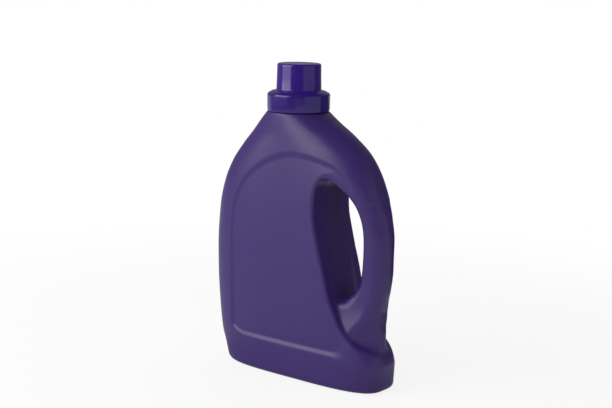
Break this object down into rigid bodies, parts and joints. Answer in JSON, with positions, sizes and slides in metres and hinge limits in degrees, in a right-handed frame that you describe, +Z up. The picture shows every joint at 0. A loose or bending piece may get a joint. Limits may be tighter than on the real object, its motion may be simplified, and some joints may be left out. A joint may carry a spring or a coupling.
{
  "type": "detergent dispenser bottle",
  "caption": "Flat-sided detergent bottle with a moulded-through handle, a drain-back pour spout and a two-step screw cap that holds a dosing cup.",
  "frame": {"origin": "middle of the bottle's width and depth, on the plane that it stands on", "axes": "+Z up along the neck axis, +X towards the handle, -Y out of the front label panel"},
  "size_m": [0.188, 0.06, 0.2801],
  "materials": {
    "bottle_hdpe": "satin blow-moulded polyethylene, fine grain",
    "spout_ldpe": "satin natural polyethylene",
    "seal_foam": "closed-cell foam",
    "cup_pp": "milky moulded polypropylene",
    "cap_pp": "polished moulded polypropylene"
  },
  "bodies": {
    "bottle": {"bottle_body": "bottle_hdpe", "pour_spout": "spout_ldpe"},
    "seal": {"seal_ring": "seal_foam"},
    "cap": {"cap_shell": "cap_pp", "dosing_cup": "cup_pp"}
  },
  "joints": [
    {"name": "cap_lift", "type": "slide", "parent": "bottle", "child": "seal", "axis": [0, 0, 1], "range_m": [0, 0.005]},
    {"name": "cap_turn", "type": "hinge", "parent": "seal", "child": "cap", "pos_m": [-0.01085, 0, 0.245], "axis": [0, 0, 1], "range_deg": [0, 300]}
  ],
  "couplings": [
    {"joint": "cap_lift", "follows": "cap_turn", "m_per_rad": 0.0009549}
  ]
}
